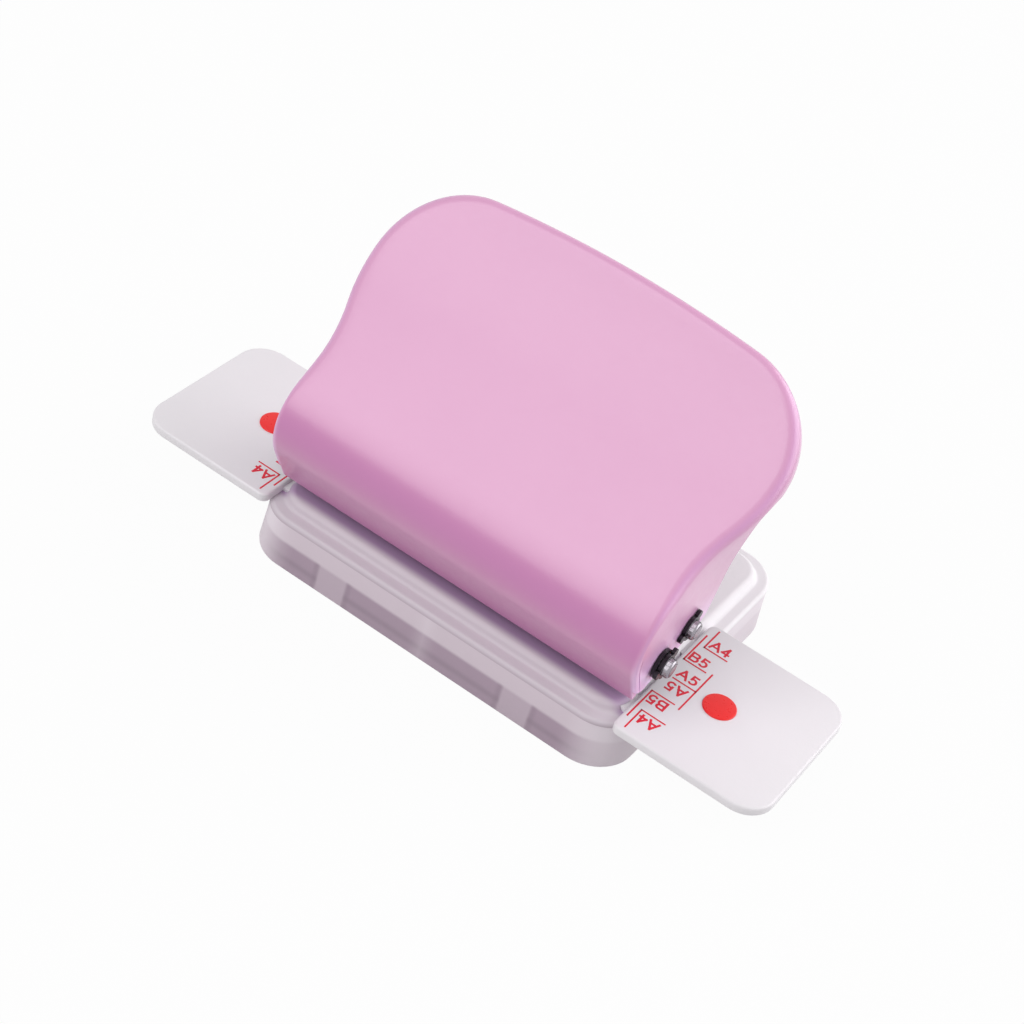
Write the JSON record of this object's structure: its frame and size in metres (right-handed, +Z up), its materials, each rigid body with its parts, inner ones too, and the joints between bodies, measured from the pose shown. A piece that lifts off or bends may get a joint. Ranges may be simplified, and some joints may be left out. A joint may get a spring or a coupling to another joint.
{
  "type": "loose-leaf hole punch",
  "caption": "Desk punch for loose-leaf paper: a bent sheet lever hinged over a row of round punches, on a deck with a lift-off chip tray and slide-out paper guides.",
  "frame": {"origin": "centre of the tray's footprint, on the surface that it stands on", "axes": "+X along the row of punches, to the right when the lever's nose faces the viewer; +Y to the back, away from the nose; +Z up"},
  "size_m": [0.1168, 0.053, 0.059],
  "materials": {
    "frosted_tray": "frosted translucent plastic",
    "white_deck": "satin white plastic",
    "white_guide": "satin white plastic with printed red marks",
    "red_peg": "smooth red plastic",
    "pink_lever": "satin pink paint",
    "bare_steel": "plated",
    "bright_steel": "bright plated",
    "dark_clip": "black oxide"
  },
  "bodies": {
    "tray": {"chip_tray": "frosted_tray"},
    "base": {"base_deck": "white_deck", "die_plate": "bare_steel", "paper_stop": "bare_steel", "punch_frame": "bare_steel", "frame_screws": "bright_steel", "pivot_pin": "bright_steel", "pivot_washers": "dark_clip", "pivot_clips": "dark_clip", "return_spring_left": "bright_steel", "return_spring_right": "bright_steel"},
    "lever": {"handle": "pink_lever"},
    "punch_set": {"drive_pin": "bright_steel", "drive_clips": "dark_clip", "punch_1": "bare_steel", "punch_2": "bare_steel", "punch_3": "bare_steel", "punch_4": "bare_steel", "punch_5": "bare_steel", "punch_6": "bare_steel"},
    "guide_left": {"paper_guide_left": "white_guide", "guide_peg_left": "red_peg"},
    "guide_right": {"paper_guide_right": "white_guide", "guide_peg_right": "red_peg"}
  },
  "joints": [
    {"name": "body_lift", "type": "slide", "parent": "tray", "child": "base", "axis": [0, 0, 1], "range_m": [0, 0.012]},
    {"name": "lever_swing", "type": "hinge", "parent": "base", "child": "lever", "pos_m": [0, -0.0177, 0.0186], "axis": [-1, 0, 0], "range_deg": [0, 32], "stiffness_Nm_per_rad": 0.15, "springref_deg": -34.38, "deforming": ["return_spring_left", "return_spring_right"]},
    {"name": "punch_drive", "type": "slide", "parent": "base", "child": "punch_set", "axis": [0, 0, -1], "range_m": [0, 0.0042]},
    {"name": "guide_left_slide", "type": "slide", "parent": "base", "child": "guide_left", "axis": [-1, 0, 0], "range_m": [0, 0.008]},
    {"name": "guide_right_slide", "type": "slide", "parent": "base", "child": "guide_right", "axis": [1, 0, 0], "range_m": [0, 0.008]}
  ],
  "couplings": [
    {"joint": "punch_drive", "follows": "lever_swing", "m_per_rad": 0.00748}
  ]
}
